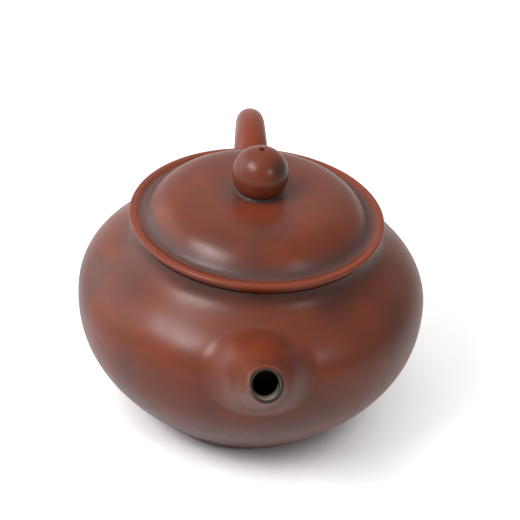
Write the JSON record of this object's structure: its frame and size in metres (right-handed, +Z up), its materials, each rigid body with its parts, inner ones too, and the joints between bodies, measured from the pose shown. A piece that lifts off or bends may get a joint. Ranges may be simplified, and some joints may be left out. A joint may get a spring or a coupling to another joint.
{
  "type": "teapot",
  "caption": "Small round-bellied unglazed red clay teapot with a short cannon spout, loop handle and pressed lid with a ball knob.",
  "frame": {"origin": "on the axis of the body, in the plane of the foot ring's resting face", "axes": "+Z up along the axis of the body, +X towards the spout, handle towards -X"},
  "size_m": [0.1312, 0.09, 0.0754],
  "materials": {
    "red_clay": "unglazed fine clay, burnished to a satin skin",
    "rim_clay": "unglazed fine clay, rubbed brighter along the edges",
    "dark_clay": "unglazed fine clay, left matt and darker"
  },
  "bodies": {
    "pot": {"body_wall": "red_clay", "base_disc": "dark_clay", "foot_ring": "dark_clay", "shoulder_disc": "red_clay", "neck_ring": "red_clay", "mouth_rim": "rim_clay", "spout": "red_clay", "spout_strainer": "dark_clay", "handle": "red_clay"},
    "lid": {"lid_plate": "rim_clay", "lid_dome": "red_clay", "lid_flange": "dark_clay", "knob_neck": "dark_clay", "lid_knob": "red_clay"}
  },
  "joints": [
    {"name": "lid_lift", "type": "slide", "parent": "pot", "child": "lid", "axis": [0, 0, 1], "range_m": [0, 0.06]}
  ]
}
